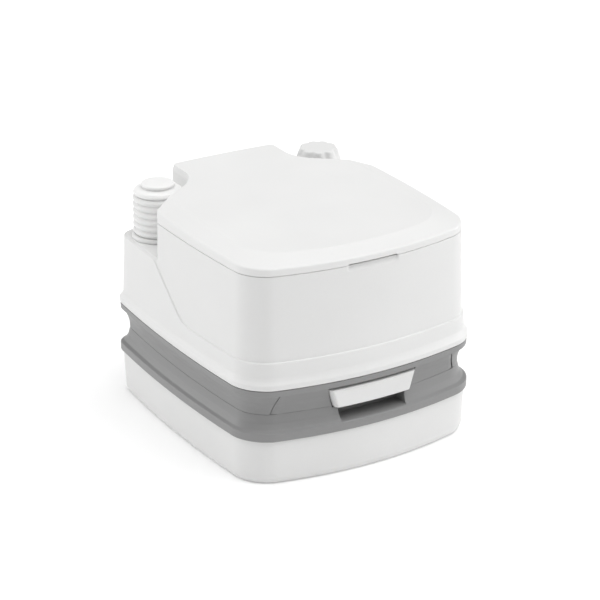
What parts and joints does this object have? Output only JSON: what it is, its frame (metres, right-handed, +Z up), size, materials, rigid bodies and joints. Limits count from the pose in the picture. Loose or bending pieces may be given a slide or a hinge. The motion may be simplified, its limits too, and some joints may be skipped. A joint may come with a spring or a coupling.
{
  "type": "cassette toilet",
  "caption": "Portable cassette toilet: flush-water tank with bowl, seat and lid on a waste tank with slide valve and swinging pour-out spout",
  "frame": {"origin": "on the floor under the middle of the plan outline", "axes": "+Z up, -Y is the front with the valve handle, +X is the right-hand side seen from the front"},
  "size_m": [0.383, 0.427, 0.33],
  "materials": {
    "white_shell": "satin moulded, fine grain",
    "white_lid": "satin moulded, fine grain",
    "white_bowl": "gloss moulded",
    "white_bellows": "soft blow-moulded",
    "grey_shell": "satin moulded, fine grain",
    "inner_plastic": "plain moulded",
    "soft_seal": "soft lip seal",
    "rubber": "matt",
    "steel": "drawn wire"
  },
  "bodies": {
    "waste_tank": {"waste_tank_base": "white_shell", "waste_tank_top": "grey_shell", "valve_frame": "inner_plastic", "valve_screw_1": "steel", "valve_screw_2": "steel", "valve_screw_3": "steel", "valve_screw_4": "steel", "valve_lip_seal": "soft_seal", "spout_o_ring": "rubber", "spout_retaining_ring": "inner_plastic", "vent_spring": "steel", "latch_pin": "steel"},
    "slide_valve": {"valve_blade": "inner_plastic", "valve_handle": "white_shell"},
    "spout": {"pour_out_spout": "grey_shell"},
    "spout_gasket": {"spout_cap_gasket": "rubber"},
    "spout_cap": {"spout_cap": "white_shell"},
    "vent": {"vent_button": "inner_plastic", "vent_seal": "rubber"},
    "latch": {"rear_latch": "grey_shell"},
    "flush_tank": {"flush_tank_floor": "grey_shell", "flush_tank_housing": "white_shell", "bowl": "white_bowl", "bowl_outlet_gasket": "rubber", "hinge_pin_left": "steel", "hinge_pin_right": "steel", "pump_collar": "white_shell", "pump_bellows": "white_bellows", "pump_intake_tube": "inner_plastic", "pump_check_valve": "inner_plastic", "flush_hose": "inner_plastic"},
    "pump": {"pump_top": "white_bellows"},
    "fill_gasket": {"fill_cap_gasket": "rubber"},
    "fill_cap": {"fill_cap": "white_shell"},
    "seat": {"seat": "white_bowl", "seat_buffer_1": "rubber", "seat_buffer_2": "rubber", "seat_buffer_3": "rubber", "seat_buffer_4": "rubber"},
    "lid": {"lid": "white_lid", "lid_buffer_1": "rubber", "lid_buffer_2": "rubber"}
  },
  "joints": [
    {"name": "flush_tank_lift", "type": "slide", "parent": "waste_tank", "child": "flush_tank", "axis": [0, 0, 1], "range_m": [0, 0.15]},
    {"name": "seat_hinge", "type": "hinge", "parent": "flush_tank", "child": "seat", "pos_m": [0, 0.19, 0.3085], "axis": [-1, 0, 0], "range_deg": [0, 95]},
    {"name": "lid_hinge", "type": "hinge", "parent": "seat", "child": "lid", "pos_m": [0, 0.19, 0.3085], "axis": [1, 0, 0], "range_deg": [-95, 0]},
    {"name": "pump_press", "type": "slide", "parent": "flush_tank", "child": "pump", "axis": [0, 0, -1], "range_m": [0, 0.035], "stiffness_N_per_m": 300, "springref_m": -0.006, "deforming": ["pump_bellows"]},
    {"name": "fill_cap_lift", "type": "slide", "parent": "flush_tank", "child": "fill_gasket", "axis": [0, 0, 1], "range_m": [0, 0.0152]},
    {"name": "fill_cap_turn", "type": "hinge", "parent": "fill_gasket", "child": "fill_cap", "pos_m": [0.133, 0.151, 0.316], "axis": [0, 0, 1], "range_deg": [0, 900]},
    {"name": "valve_slide", "type": "slide", "parent": "waste_tank", "child": "slide_valve", "axis": [0, -1, 0], "range_m": [0, 0.102]},
    {"name": "spout_swing", "type": "hinge", "parent": "waste_tank", "child": "spout", "pos_m": [0.128, 0.176, 0.105], "axis": [0, 0, -1], "range_deg": [0, 100]},
    {"name": "spout_cap_slide", "type": "slide", "parent": "spout", "child": "spout_gasket", "axis": [-1, 0, 0], "range_m": [0, 0.0182]},
    {"name": "spout_cap_turn", "type": "hinge", "parent": "spout_gasket", "child": "spout_cap", "pos_m": [0.05, 0.176, 0.105], "axis": [-1, 0, 0], "range_deg": [0, 1080]},
    {"name": "vent_press", "type": "slide", "parent": "waste_tank", "child": "vent", "axis": [0, 0, -1], "range_m": [0, 0.004], "stiffness_N_per_m": 300, "springref_m": -0.003, "deforming": ["vent_spring"]},
    {"name": "latch_swing", "type": "hinge", "parent": "waste_tank", "child": "latch", "pos_m": [-0.03, 0.2045, 0.086], "axis": [-1, 0, 0], "range_deg": [-6, 50]}
  ],
  "couplings": [
    {"joint": "fill_cap_lift", "follows": "fill_cap_turn", "m_per_rad": 0.00095493},
    {"joint": "spout_cap_slide", "follows": "spout_cap_turn", "m_per_rad": 0.00095493}
  ]
}
